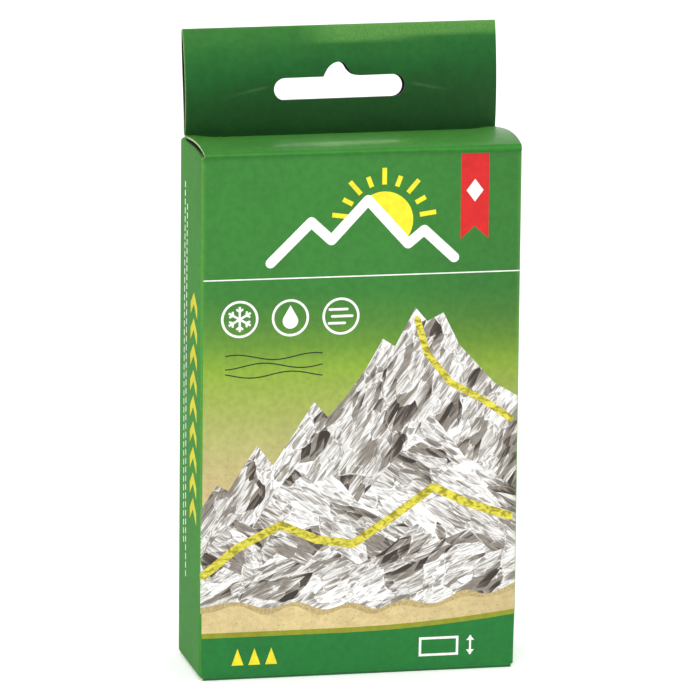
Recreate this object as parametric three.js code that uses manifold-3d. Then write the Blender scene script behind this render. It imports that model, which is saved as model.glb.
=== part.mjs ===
// A hang-tab folding carton: one die-cut sheet of coated board, folded and glued into a box.
// The sheet runs up the front panel, back over the bowed top panel, up the hang tab's front ply,
// over the tab's top fold and down its back ply to a flap glued on the outside of the back panel.
// The bottom closes with two dust flaps and a lid with a tuck flap.
// Millimetres. The carton stands on z = 0 with its front towards -Y and its width along X.

import * as THREE from 'three';
import * as BufferGeometryUtils from 'three/addons/utils/BufferGeometryUtils.js';
import Module from 'manifold-3d';

// Driving dimensions of the body
const WIDTH = 78.8;            // across the front, outside
const DEPTH = 28;              // front to back, outside
const HEIGHT = 130.5;          // floor to the top panel's folds
const BOARD = 0.5;             // thickness of the board
const FOLD_GAP = 0.1;          // clearance at the folds that open
const CURVE_SEGMENTS = 8;      // straight pieces to each drawn curve

// The strip over the top is cut a little narrower than the body
const STRIP_INSET = 0.3;
const TOP_BOW = 1.4;           // how far the top panel bows up
const TOP_BOW_PEAK = 0.38;     // where it is highest, as a share of the depth from the front
const TOP_BOW_STEPS = 20;

// Hang tab
const TAB_HEIGHT = 26.2;
const TAB_LEAN = THREE.MathUtils.degToRad(1.7);
const TAB_GAP = 0.3;           // between the two plies at the tab's foot and at its top fold
const TAB_BULGE = 1.6;         // how far the front ply bulges away from the back ply
const TAB_BULGE_POWER = 0.8;   // below 1 for a bulge that is fuller towards its ends
const TAB_STEPS = 14;
const FOLD_STEPS = 5;
const GLUE_FLAP_DROP = 18;     // how far the tab's last flap runs down the back panel
const GLUE_FLAP_SIDE = 1;      // how far it stays in from the panel's side edges

// Euro slot in the hang tab
const SLOT_WIDTH = 32.6;
const SLOT_HALF_HEIGHT = 2.7;
const SLOT_LEVEL = 10.7;       // its middle line above the tab's foot
const HUMP_RADIUS = 2.2;
const HUMP_LEVEL = 4.15;       // centre of the hump's arc above the slot's middle line
const HUMP_FOOT = 4.4;         // half width where the hump runs into the slot's upper edge
const HUMP_SHOULDER = THREE.MathUtils.degToRad(20);
const HUMP_CORNER = 0.5;       // corner of the curve into the foot, beyond the arc's end

// Flaps
const SIDE_DROP = 1.3;         // the side panels fold this far below the top panel's folds
const TOP_FLAP_REACH = 24;
const TOP_FLAP_RISE = THREE.MathUtils.degToRad(1.2);
const DUST_FLAP_REACH = 24;
const DUST_FLAP_BACK = 4.3;    // set back from the back panel, clear of the tuck flap
const FLAP_SIDE_GAP = 0.4;
const FLAP_TAPER = 3;          // how much narrower a dust flap is at its free end
const LID_SIDE_GAP = 0.8;
const TUCK_HEIGHT = 11;
const TUCK_LEAN = 2.5;         // the tuck flap's tip leans in from its foot by this much
const TUCK_SIDE_GAP = 2;
const TUCK_CORNER = 7;
const SEAM_FLAP_WIDTH = 14;
const SEAM_FLAP_FOOT = 8;      // its lower end above the floor
const SEAM_FLAP_TAPER = 4;

const HALF_WIDTH = WIDTH / 2;
const HALF_DEPTH = DEPTH / 2;
const INNER_X = HALF_WIDTH - BOARD;
const INNER_Y = HALF_DEPTH - BOARD;

// Colours of the print on the board's outside and of its bare inside
const PRINT_GREEN = 0x47893f;
const TAB_GREEN = 0x2d6a33;
const SIDE_GREEN = 0x5b924f;
const TOP_GREEN = 0x4a8540;
const BARE_BOARD = 0xc9c6bd;
const PRINT_ROUGHNESS = 0.35;
const BARE_ROUGHNESS = 0.8;

const MERGE_TOLERANCE = 1e-4;

const carton = new THREE.Group();

function boardMaterial(colour, roughness = PRINT_ROUGHNESS) {
  return new THREE.MeshStandardMaterial({ color: colour, roughness, metalness: 0 });
}

function addMesh(name, geometry, material) {
  const mesh = new THREE.Mesh(geometry, material);
  mesh.name = name;
  carton.add(mesh);
  return mesh;
}

// A flat panel given by its lowest and highest corners
function addPanel(name, low, high, material) {
  const size = high.map((value, axis) => value - low[axis]);
  const mesh = addMesh(name, new THREE.BoxGeometry(...size), material);
  mesh.position.set(...low.map((value, axis) => value + size[axis] / 2));
  return mesh;
}

// Turns a solid extruded along z from an outline in (first, second) so that it runs along X,
// with the outline's first axis on Y and its second on Z
function alongX(geometry) {
  return geometry.applyMatrix4(new THREE.Matrix4().set(
    0, 0, 1, 0,
    1, 0, 0, 0,
    0, 1, 0, 0,
    0, 0, 0, 1,
  ));
}

// The same along Y, with the outline's first axis on X and its second on Z
function alongY(geometry) {
  return geometry.applyMatrix4(new THREE.Matrix4().set(
    1, 0, 0, 0,
    0, 0, -1, 0,
    0, 1, 0, 0,
    0, 0, 0, 1,
  ));
}

function extrude(shape, length) {
  const options = { depth: length, bevelEnabled: false, curveSegments: CURVE_SEGMENTS };
  return new THREE.ExtrudeGeometry(shape, options);
}

function mirrored(points) {
  return points.map((point) => new THREE.Vector2(-point.x, point.y)).reverse();
}

// Body: four upright panels and the seam flap glued inside the right one
function addBody() {
  const print = boardMaterial(PRINT_GREEN);
  const side = boardMaterial(SIDE_GREEN);
  const footZ = BOARD + FOLD_GAP;
  const sideTop = HEIGHT - BOARD - SIDE_DROP;
  addPanel('front_panel', [-HALF_WIDTH, -HALF_DEPTH, footZ], [HALF_WIDTH, -INNER_Y, HEIGHT - BOARD], print);
  addPanel('back_panel', [-HALF_WIDTH, INNER_Y, 0], [HALF_WIDTH, HALF_DEPTH, HEIGHT - BOARD], print);
  addPanel('left_side_panel', [-HALF_WIDTH, -INNER_Y, footZ], [-INNER_X, INNER_Y, sideTop], side);
  addPanel('right_side_panel', [INNER_X, -INNER_Y, footZ], [HALF_WIDTH, INNER_Y, sideTop], side);

  const top = sideTop - SEAM_FLAP_FOOT;
  const seam = new THREE.Shape([
    new THREE.Vector2(INNER_Y, SEAM_FLAP_FOOT),
    new THREE.Vector2(INNER_Y, top),
    new THREE.Vector2(INNER_Y - SEAM_FLAP_WIDTH, top - SEAM_FLAP_TAPER),
    new THREE.Vector2(INNER_Y - SEAM_FLAP_WIDTH, SEAM_FLAP_FOOT + SEAM_FLAP_TAPER),
  ]);
  const bare = boardMaterial(BARE_BOARD, BARE_ROUGHNESS);
  const flap = addMesh('seam_flap', alongX(extrude(seam, BOARD)), bare);
  flap.position.x = INNER_X - BOARD;
}

// Height of the top panel's outer face above its folds, at a share of the way from the front fold
// to the hang tab's foot
function topBow(share) {
  const power = Math.log(0.5) / Math.log(TOP_BOW_PEAK);
  return share === 1 ? 0 : TOP_BOW * Math.sin(Math.PI * share ** power);
}

// Top panel: a bowed strip whose ends rest flat on the front and back panels
function addTopPanel() {
  const bowEnd = tabMiddle(0) - TAB_GAP / 2 - BOARD;
  const outer = [];
  const inner = [];
  for (let step = 0; step <= TOP_BOW_STEPS; step += 1) {
    const share = step / TOP_BOW_STEPS;
    outer.push(new THREE.Vector2(THREE.MathUtils.lerp(-HALF_DEPTH, bowEnd, share), HEIGHT + topBow(share)));
    const innerY = THREE.MathUtils.lerp(-INNER_Y, bowEnd - BOARD, share);
    inner.push(new THREE.Vector2(innerY, HEIGHT - BOARD + topBow(share)));
  }
  const outline = [
    new THREE.Vector2(-HALF_DEPTH, HEIGHT - BOARD),
    ...inner,
    new THREE.Vector2(HALF_DEPTH, HEIGHT - BOARD),
    new THREE.Vector2(HALF_DEPTH, HEIGHT),
    ...outer.reverse(),
  ];
  const length = WIDTH - 2 * STRIP_INSET;
  const geometry = alongX(extrude(new THREE.Shape(outline), length));
  const mesh = addMesh('top_panel', geometry, boardMaterial(TOP_GREEN));
  mesh.position.x = -length / 2;
}

// Sideways place of the hang tab's middle plane, halfway between its plies, at a height above its foot
function tabMiddle(rise) {
  return HALF_DEPTH - TAB_GAP / 2 + rise * Math.tan(TAB_LEAN);
}

// Outline of the folded strip seen from the side: up the front ply, over the fold, down the back ply
// and home again along the inner faces
function tabOutline() {
  const foldRadius = TAB_GAP / 2 + BOARD;
  const plyHeight = TAB_HEIGHT - foldRadius;
  const bulge = (rise) => TAB_BULGE * Math.sin(Math.PI * rise / plyHeight) ** TAB_BULGE_POWER;
  const front = [];
  const frontInner = [];
  for (let step = 0; step <= TAB_STEPS; step += 1) {
    const rise = plyHeight * step / TAB_STEPS;
    const forward = step % TAB_STEPS === 0 ? 0 : bulge(rise);
    const z = HEIGHT + rise;
    front.push(new THREE.Vector2(tabMiddle(rise) - foldRadius - forward, z));
    frontInner.push(new THREE.Vector2(tabMiddle(rise) - TAB_GAP / 2 - forward, z));
  }
  const fold = (radius) => {
    const points = [];
    for (let step = 1; step < FOLD_STEPS; step += 1) {
      const angle = Math.PI * (1 - step / FOLD_STEPS);
      const y = tabMiddle(plyHeight) + radius * Math.cos(angle);
      points.push(new THREE.Vector2(y, HEIGHT + plyHeight + radius * Math.sin(angle)));
    }
    return points;
  };
  return [
    ...front,
    ...fold(foldRadius),
    new THREE.Vector2(tabMiddle(plyHeight) + foldRadius, HEIGHT + plyHeight),
    new THREE.Vector2(tabMiddle(0) + foldRadius, HEIGHT),
    new THREE.Vector2(tabMiddle(0) + TAB_GAP / 2, HEIGHT),
    new THREE.Vector2(tabMiddle(plyHeight) + TAB_GAP / 2, HEIGHT + plyHeight),
    ...fold(TAB_GAP / 2).reverse(),
    ...frontInner.reverse(),
  ];
}

// Euro slot: a long round-ended slot with a rounded hump on its upper edge for the peg
function slotShape() {
  const endX = SLOT_WIDTH / 2 - SLOT_HALF_HEIGHT;
  const shoulderX = HUMP_RADIUS * Math.cos(HUMP_SHOULDER);
  const shoulderZ = HUMP_LEVEL + HUMP_RADIUS * Math.sin(HUMP_SHOULDER);
  const shape = new THREE.Shape();
  shape.moveTo(-endX, -SLOT_HALF_HEIGHT);
  shape.lineTo(endX, -SLOT_HALF_HEIGHT);
  shape.absarc(endX, 0, SLOT_HALF_HEIGHT, -Math.PI / 2, Math.PI / 2, false);
  shape.lineTo(HUMP_FOOT, SLOT_HALF_HEIGHT);
  shape.quadraticCurveTo(shoulderX + HUMP_CORNER, SLOT_HALF_HEIGHT, shoulderX, shoulderZ);
  shape.absarc(0, HUMP_LEVEL, HUMP_RADIUS, HUMP_SHOULDER, Math.PI - HUMP_SHOULDER, false);
  shape.quadraticCurveTo(-shoulderX - HUMP_CORNER, SLOT_HALF_HEIGHT, -HUMP_FOOT, SLOT_HALF_HEIGHT);
  shape.lineTo(-endX, SLOT_HALF_HEIGHT);
  shape.absarc(-endX, 0, SLOT_HALF_HEIGHT, Math.PI / 2, 3 * Math.PI / 2, false);
  return shape;
}

function toManifold(wasm, geometry) {
  const bare = geometry.clone();
  bare.deleteAttribute('normal');
  bare.deleteAttribute('uv');
  const merged = BufferGeometryUtils.mergeVertices(bare, MERGE_TOLERANCE);
  return new wasm.Manifold(new wasm.Mesh({
    numProp: 3,
    vertProperties: new Float32Array(merged.attributes.position.array),
    triVerts: new Uint32Array(merged.index.array),
  }));
}

function fromManifold(solid) {
  const mesh = solid.getMesh();
  const geometry = new THREE.BufferGeometry();
  geometry.setAttribute('position', new THREE.BufferAttribute(mesh.vertProperties, 3));
  geometry.setIndex(new THREE.BufferAttribute(mesh.triVerts, 1));
  geometry.computeVertexNormals();
  return geometry;
}

// Hang tab: the folded double ply with the euro slot cut through both plies
function addHangTab(wasm) {
  const length = WIDTH - 2 * STRIP_INSET;
  const strip = alongX(extrude(new THREE.Shape(tabOutline()), length));
  strip.translate(-length / 2, 0, 0);
  const reach = TAB_BULGE + TAB_GAP + 2 * BOARD + TAB_HEIGHT * Math.tan(TAB_LEAN);
  const cutter = alongY(extrude(slotShape(), 2 * reach));
  cutter.translate(0, HALF_DEPTH + reach, HEIGHT + SLOT_LEVEL);
  const cut = toManifold(wasm, strip).subtract(toManifold(wasm, cutter));
  addMesh('hang_tab', fromManifold(cut), boardMaterial(TAB_GREEN));
  addPanel(
    'hang_tab_glue_flap',
    [-HALF_WIDTH + GLUE_FLAP_SIDE, HALF_DEPTH, HEIGHT - GLUE_FLAP_DROP],
    [HALF_WIDTH - GLUE_FLAP_SIDE, HALF_DEPTH + BOARD, HEIGHT],
    boardMaterial(PRINT_GREEN),
  );
}

// Top dust flaps: folded in from the side panels, under the top panel
function addTopDustFlaps() {
  const foot = HEIGHT - BOARD - SIDE_DROP;
  const rise = TOP_FLAP_REACH * Math.tan(TOP_FLAP_RISE);
  const left = [
    new THREE.Vector2(-HALF_WIDTH, foot),
    new THREE.Vector2(-INNER_X, foot),
    new THREE.Vector2(-INNER_X + TOP_FLAP_REACH, foot + rise),
    new THREE.Vector2(-INNER_X + TOP_FLAP_REACH, foot + rise + BOARD),
    new THREE.Vector2(-HALF_WIDTH, foot + BOARD),
  ];
  const length = DEPTH - 2 * BOARD - 2 * FLAP_SIDE_GAP;
  for (const [name, outline] of [['left', left], ['right', mirrored(left)]]) {
    const geometry = alongY(extrude(new THREE.Shape(outline), length));
    const mesh = addMesh(`top_dust_flap_${name}`, geometry, boardMaterial(SIDE_GREEN));
    mesh.position.y = length / 2;
  }
}

// Bottom dust flaps: flat on the lid's inner face, tapered, hinged along the side panels' feet
function addBottomDustFlaps() {
  const hingeX = INNER_X - FOLD_GAP;
  const frontY = -INNER_Y + FLAP_SIDE_GAP;
  const backY = HALF_DEPTH - DUST_FLAP_BACK;
  const right = [
    new THREE.Vector2(hingeX, frontY),
    new THREE.Vector2(hingeX, backY),
    new THREE.Vector2(hingeX - DUST_FLAP_REACH, backY - FLAP_TAPER),
    new THREE.Vector2(hingeX - DUST_FLAP_REACH, frontY + FLAP_TAPER),
  ];
  for (const [name, outline] of [['left', mirrored(right)], ['right', right]]) {
    const geometry = extrude(new THREE.Shape(outline), BOARD);
    const mesh = addMesh(`bottom_dust_flap_${name}`, geometry, boardMaterial(SIDE_GREEN));
    mesh.position.z = BOARD + FOLD_GAP;
  }
}

// Bottom lid, folded back from the front panel, and the tuck flap at its far end
function addBottomLid() {
  const lidX = HALF_WIDTH - LID_SIDE_GAP;
  const lidBack = INNER_Y - FOLD_GAP;
  addPanel('bottom_lid', [-lidX, -HALF_DEPTH, 0], [lidX, lidBack, BOARD], boardMaterial(PRINT_GREEN));

  const tuckX = HALF_WIDTH - TUCK_SIDE_GAP;
  const shape = new THREE.Shape();
  shape.moveTo(-tuckX, 0);
  shape.lineTo(tuckX, 0);
  shape.lineTo(tuckX, TUCK_HEIGHT - TUCK_CORNER);
  shape.absarc(tuckX - TUCK_CORNER, TUCK_HEIGHT - TUCK_CORNER, TUCK_CORNER, 0, Math.PI / 2, false);
  shape.absarc(-tuckX + TUCK_CORNER, TUCK_HEIGHT - TUCK_CORNER, TUCK_CORNER, Math.PI / 2, Math.PI, false);
  const geometry = alongY(extrude(shape, BOARD));
  const lean = new THREE.Matrix4().set(
    1, 0, 0, 0,
    0, 1, -TUCK_LEAN / TUCK_HEIGHT, 0,
    0, 0, 1, 0,
    0, 0, 0, 1,
  );
  const mesh = addMesh('bottom_tuck_flap', geometry.applyMatrix4(lean), boardMaterial(PRINT_GREEN));
  mesh.position.set(0, lidBack, BOARD);
}

const wasm = await Module();
wasm.setup();

addBody();
addTopPanel();
addHangTab(wasm);
addTopDustFlaps();
addBottomLid();
addBottomDustFlaps();

export default carton;
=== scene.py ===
import math

import bpy
from mathutils import Matrix, Vector
from mathutils.geometry import delaunay_2d_cdt


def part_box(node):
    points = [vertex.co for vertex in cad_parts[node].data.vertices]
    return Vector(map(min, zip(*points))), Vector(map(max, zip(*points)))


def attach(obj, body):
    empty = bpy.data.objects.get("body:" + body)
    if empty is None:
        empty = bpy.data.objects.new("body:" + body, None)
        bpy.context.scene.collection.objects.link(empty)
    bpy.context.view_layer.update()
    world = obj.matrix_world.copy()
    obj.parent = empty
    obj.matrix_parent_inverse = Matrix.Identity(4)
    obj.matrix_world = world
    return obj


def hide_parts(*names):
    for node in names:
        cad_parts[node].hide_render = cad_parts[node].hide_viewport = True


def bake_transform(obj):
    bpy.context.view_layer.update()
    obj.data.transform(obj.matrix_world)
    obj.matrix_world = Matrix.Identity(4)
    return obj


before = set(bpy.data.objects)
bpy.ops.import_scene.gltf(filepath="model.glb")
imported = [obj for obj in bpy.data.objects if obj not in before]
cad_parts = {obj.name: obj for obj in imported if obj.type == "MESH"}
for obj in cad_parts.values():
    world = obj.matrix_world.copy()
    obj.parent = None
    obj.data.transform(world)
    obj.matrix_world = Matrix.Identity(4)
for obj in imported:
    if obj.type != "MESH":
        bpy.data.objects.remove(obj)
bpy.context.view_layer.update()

# A hang-tab folding carton: one printed and varnished sheet of board, folded and glued into a box.
# Sizes are millimetres here, and metres in the meshes.
MM = 0.001


def corners(node):
    """Lowest and highest corner of a node of the frame, in millimetres."""
    low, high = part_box(node)
    return low / MM, high / MM


# Sizes read from the frame
FRONT_LOW, FRONT_HIGH = corners("front_panel")
BACK_HIGH = corners("back_panel")[1]
SEAM_LOW, SEAM_HIGH = corners("seam_flap")
TAB_LOW, TAB_HIGH = corners("hang_tab")
GLUE_LOW, GLUE_HIGH = corners("hang_tab_glue_flap")
TOP_FLAP_HIGH = corners("top_dust_flap_left")[1]
LID_HIGH = corners("bottom_lid")[1]
TUCK_LOW, TUCK_HIGH = corners("bottom_tuck_flap")
FLAP_LOW, FLAP_HIGH = corners("bottom_dust_flap_left")
HALF_STRIP = corners("top_panel")[1].x
HALF_WIDTH = FRONT_HIGH.x
WIDTH = 2 * HALF_WIDTH
FRONT_Y = FRONT_LOW.y
BACK_Y = BACK_HIGH.y
DEPTH = BACK_Y - FRONT_Y
BOARD = FRONT_HIGH.y - FRONT_LOW.y
SIDE_TOP = corners("left_side_panel")[1].z
ROOF = TAB_LOW.z
TAB_TOP = TAB_HIGH.z
TAB_BACK_FOOT_Y = GLUE_HIGH.y

# Folds and gaps
FOLD = 0.6  # radius of a fold's outer face
SCORE_Z = ROOF - 0.67  # the front's score line, just below its top fold
PLY_GAP = 0.3  # between the hang tab's two plies
SEAM_GAP = 0.05  # between the seam flap and the right side panel
JOIN_GAP = 0.02  # between two pieces that meet at a fold
FREE_EDGE_INSET = 0.25  # of the right side panel's free edge from the back
FRONT_BOW = 0.17  # how far the front's upright folds stand out past the back's
FRONT_WIDTH = WIDTH + 2 * FRONT_BOW
TAB_FOOT_Y = BACK_Y - BOARD - PLY_GAP
PANEL_PILLOW = 0.25  # how far the upright panels bulge in their middles

# Meshes
BEND_STEPS = 6
BEND_MARGIN = 0.7  # a row of points this far outside a bend keeps its wear narrow
SLACK = 0.001  # keeps a rounding error from adding a step
CUT_PRECISION = 1e-5
SHARP_ANGLE = math.radians(40)

# Bow of the top panel, bulge of the hang tab's front ply and sag of the fold between them
BOW_LEFT, BOW_RIGHT = 1.2, 1.6
BOW_POWER = math.log(0.5) / math.log(0.38)  # puts the crown at 0.38 of the depth
BULGE_LEFT, BULGE_RIGHT = 2.1, 1.3
BULGE_POWER = 0.8
TILT_LEFT, TILT_RIGHT = -0.1, 0.2  # how much higher the tab's top is at its ends
CREASE_SAG = 0.75
CREASE_PUSH = 0.4
CREASE_REACH = 4.5
CREASE_FADE = 9  # from the sag's full depth to the strip's ends

TAB_LEAN = math.radians(1.7)

# Euro slot, measured from its middle
SLOT_LEVEL = 11.03
SLOT_HALF = 16.45
SLOT_SLIDE = -0.5
SLOT_BACK_SLIDE = -0.15  # of the back ply against the front ply
SLOT_BACK_DROP = 0.35  # how much lower the back ply's slot lies
SLOT_TURN = math.radians(0.4)
SLOT_RADIUS = 2.75
HUMP = (  # the hump's rim, from its sharp left foot to its soft right one
    (-3.96, 2.75), (-3.55, 3.62), (-2.7, 4.95), (-1.35, 5.95), (0.15, 6.26), (1.05, 6), (1.72, 5.38),
    (2.47, 4.16), (3.5, 3.2), (5, 2.75),
)


def mix(a, b, share):
    return a + (b - a) * share


def across(x, left, right):
    """A value that changes evenly from the carton's left side to its right one."""
    return mix(left, right, (x + HALF_WIDTH) / WIDTH)


def clamp(value):
    return min(max(value, 0), 1)


def smooth(value):
    value = clamp(value)
    return value * value * (3 - 2 * value)


def bell(value, middle, width):
    """One in the middle, and falling smoothly to nothing on both sides."""
    return math.exp(-(((value - middle) / width) ** 2))


def sag(value, low, high):
    """One hump between low and high, zero at both."""
    return math.sin(math.pi * clamp((value - low) / (high - low)))


def spread(start, end, step):
    """Evenly spaced values from start to end, no further apart than step."""
    count = max(1, math.ceil(abs(end - start) / step - SLACK))
    return [mix(start, end, i / count) for i in range(count + 1)]


class Profile:
    """The outer face of a folded sheet, seen along its folds: straight runs, and round bends at the
    corners. The outside lies left of the way it runs."""

    def __init__(self, points, *radii):
        self.runs = []
        self.bends = []
        self.length = 0
        points = [Vector(point) for point in points]
        if len(radii) == 1:
            radii *= len(points) - 2
        place = points[0]
        for before, corner, after, radius in zip(points, points[1:], points[2:], radii):
            way_in = (corner - before).normalized()
            way_out = (after - corner).normalized()
            turn = math.atan2(way_in.cross(way_out), way_in.dot(way_out))
            cut = radius * math.tan(abs(turn) / 2)
            start = self.length + (corner - way_in * cut - place).length
            self._add(start - self.length, place, way_in, 0)
            self._add(radius * abs(turn), corner - way_in * cut, way_in, turn)
            self.bends.append((start, self.length))
            place = corner + way_out * cut
        end = points[-1] - place
        self._add(end.length, place, end.normalized(), 0)

    def _add(self, length, place, way, turn):
        heading = math.atan2(way.y, way.x)
        self.runs.append((self.length, length, place, heading, turn))
        self.length += length

    def at(self, along, depth=0):
        """The point at a length along the outer face, and at a depth below it."""
        run = self.runs[0]
        for candidate in self.runs:
            if candidate[0] <= along:
                run = candidate
        start, length, place, heading, turn = run
        step = along - start
        now = heading
        if turn:
            bend = turn / length
            now = heading + bend * step
            move = Vector((math.sin(now) - math.sin(heading), math.cos(heading) - math.cos(now))) / bend
        else:
            move = Vector((math.cos(heading), math.sin(heading))) * step
        return place + move + Vector((math.sin(now), -math.cos(now))) * depth

    def middles(self):
        """The length at each bend's middle."""
        return [(start + end) / 2 for start, end in self.bends]

    def flats(self):
        """The lengths at which the straight run before each bend starts and ends."""
        starts = [0] + [end for _, end in self.bends]
        return [(start, bend[0]) for start, bend in zip(starts, self.bends)]

    def steps(self, start, end, step):
        """Lengths at which the sheet needs a row of points: close together in the bends."""
        marks = {start, end}
        for first, last in self.bends:
            rows = spread(first, last, (last - first) / BEND_STEPS)
            for along in [first - BEND_MARGIN, *rows, last + BEND_MARGIN]:
                if start < along < end:
                    marks.add(along)
        marks = sorted(marks)
        rows = []
        for first, last in zip(marks, marks[1:]):
            rows += spread(first, last, step)[:-1]
        return rows + [end]


# Outlines of the printed shapes, as lists of points


def polar(x, z, radius, angle):
    return x + radius * math.cos(angle), z + radius * math.sin(angle)


def box_shape(left, bottom, right, top):
    return [(left, bottom), (right, bottom), (right, top), (left, top)]


def disc(x, z, radius, count=28):
    return [polar(x, z, radius, math.tau * i / count) for i in range(count)]


def arc(x, z, radius, start, end, count=10):
    """Part of a circle between two angles in degrees."""
    angles = spread(start, end, abs(end - start) / count)
    return [polar(x, z, radius, math.radians(angle)) for angle in angles]


def bar(start, end, width, overhang=0):
    """A straight stroke between two points."""
    start, end = Vector(start), Vector(end)
    way = (end - start).normalized()
    side = Vector((-way.y, way.x)) * width / 2
    start, end = start - way * overhang, end + way * overhang
    return [tuple(p) for p in (start - side, end - side, end + side, start + side)]


def stroke(points, width):
    """A line of straight strokes with round joints."""
    shapes = [bar(a, b, width) for a, b in zip(points, points[1:])]
    return shapes + [disc(*point, width / 2, 12) for point in points]


def through(points, count=5):
    """A smooth line through some points, drawn with count steps between two of them."""
    points = [Vector(point) for point in points]
    ends = [points[0], *points, points[-1]]
    line = []
    for before, start, end, after in zip(ends, points, points[1:], ends[3:]):
        for i in range(count):
            share = i / count
            line.append(tuple(
                start + (end - before) * share / 2
                + (2 * before - 5 * start + 4 * end - after) * share ** 2 / 2
                + (3 * start - before - 3 * end + after) * share ** 3 / 2
            ))
    return line + [tuple(points[-1])]


def runs_left(polygon):
    """Whether an outline runs round with its inside on the left."""
    ends = zip(polygon, [*polygon[1:], polygon[0]])
    return sum(ax * by - bx * ay for (ax, ay), (bx, by) in ends) > 0


def cut_sheet(columns, rows, outline, holes, patches):
    """Cuts a flat sheet along its grid lines, its holes and its printed patches. Gives the points
    and, for each triangle, its corners and the number of the last patch that covers it."""
    points, edges, faces = [], [], []

    def add(polygon):
        first = len(points)
        points.extend(Vector(point) for point in polygon)
        return list(range(first, len(points)))

    for u in columns:
        edges.append(add([(u, rows[0]), (u, rows[-1])]))
    for v in rows:
        edges.append(add([(columns[0], v), (columns[-1], v)]))
    for polygon in [outline, *holes, *patches]:
        faces.append(add(polygon if runs_left(polygon) else polygon[::-1]))
    cut = delaunay_2d_cdt(points, edges, faces, 1, CUT_PRECISION)
    first_patch = 1 + len(holes)
    triangles = []
    for triangle, origins in zip(cut[2], cut[5]):
        if 0 not in origins or any(0 < origin < first_patch for origin in origins):
            continue
        triangles.append((list(triangle), max(origins) - first_patch))
    return cut[0], triangles


def build_sheet(
    name, body, columns, rows, place, patches, marks=None, outline=None, holes=(), gloom=None
):
    """Makes a folded sheet of board as a closed mesh. place(u, v, depth) gives its points, depth
    being measured from the outer face. patches are (outline, name of a print), the last on top; the
    inner face and cut edges are bare. marks(u, v) says how much wear, painted highlight and painted
    light (above 0) or painted shade (below 0) the print carries, and gloom(u, v) how much painted
    shade darkens the inner face."""
    outline = outline or box_shape(columns[0], rows[0], columns[-1], rows[-1])
    flat, triangles = cut_sheet(columns, rows, outline, holes, [patch[0] for patch in patches])
    used = sorted({index for triangle, _ in triangles for index in triangle})
    order = {index: i for i, index in enumerate(used)}
    count = len(used)
    outer = [place(*flat[index], 0) for index in used]
    inner = [place(*flat[index], BOARD) for index in used]
    triangles = [([order[i] for i in triangle], patch) for triangle, patch in triangles]

    a, b, c = triangles[0][0]
    facing = (outer[b] - outer[a]).cross(outer[c] - outer[a]).dot(outer[a] - inner[a])
    if facing < 0:
        triangles = [(triangle[::-1], patch) for triangle, patch in triangles]

    inks = list(dict.fromkeys(ink_name for _, ink_name in patches))
    names = [f"print_{ink_name}" for ink_name in inks] + ["cut_edge", "inner_board"]
    faces, slots, sides = [], [], {}
    for triangle, patch in triangles:
        faces += [triangle, [i + count for i in reversed(triangle)]]
        slots += [inks.index(patches[patch][1]), len(names) - 1]
        sides.update(dict.fromkeys(zip(triangle, triangle[1:] + triangle[:1])))
    for i, j in sides:
        if (j, i) not in sides:
            faces.append([j, i, i + count, j + count])
            u, v = flat[used[i]]
            # the slots' rims take the inner board, and with it the painted shade between the plies
            in_hole = holes and columns[0] < u < columns[-1] and rows[0] < v < rows[-1]
            slots.append(len(names) - (1 if in_hole else 2))

    mesh = bpy.data.meshes.new(name)
    mesh.from_pydata([point * MM for point in outer + inner], [], faces)
    for material in names:
        mesh.materials.append(bpy.data.materials[material])
    mesh.polygons.foreach_set("material_index", slots)
    mesh.polygons.foreach_set("use_smooth", [True] * len(faces))
    if marks:
        wear_and_painted_light = [marks(*flat[index]) for index in used]
        wear_and_painted_light += [gloom(*flat[index]) if gloom else 0 for index in used]
        mesh.attributes.new("wear_and_painted_light", "FLOAT", "POINT").data.foreach_set("value", wear_and_painted_light)
    mesh.set_sharp_from_angle(angle=SHARP_ANGLE)
    mesh.update()
    piece = bpy.data.objects.new(name, mesh)
    bpy.context.scene.collection.objects.link(piece)
    if body:
        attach(piece, body)
    return piece


# Materials

BLACK = (0, 0, 0, 1)
WHITE = (1, 1, 1, 1)


def ink(red, green, blue):
    """A linear colour with alpha from a colour as seen on a screen."""
    linear = []
    for value in (red, green, blue):
        value /= 255
        linear.append(value / 12.92 if value <= 0.04045 else ((value + 0.055) / 1.055) ** 2.4)
    return (*linear, 1)


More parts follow.
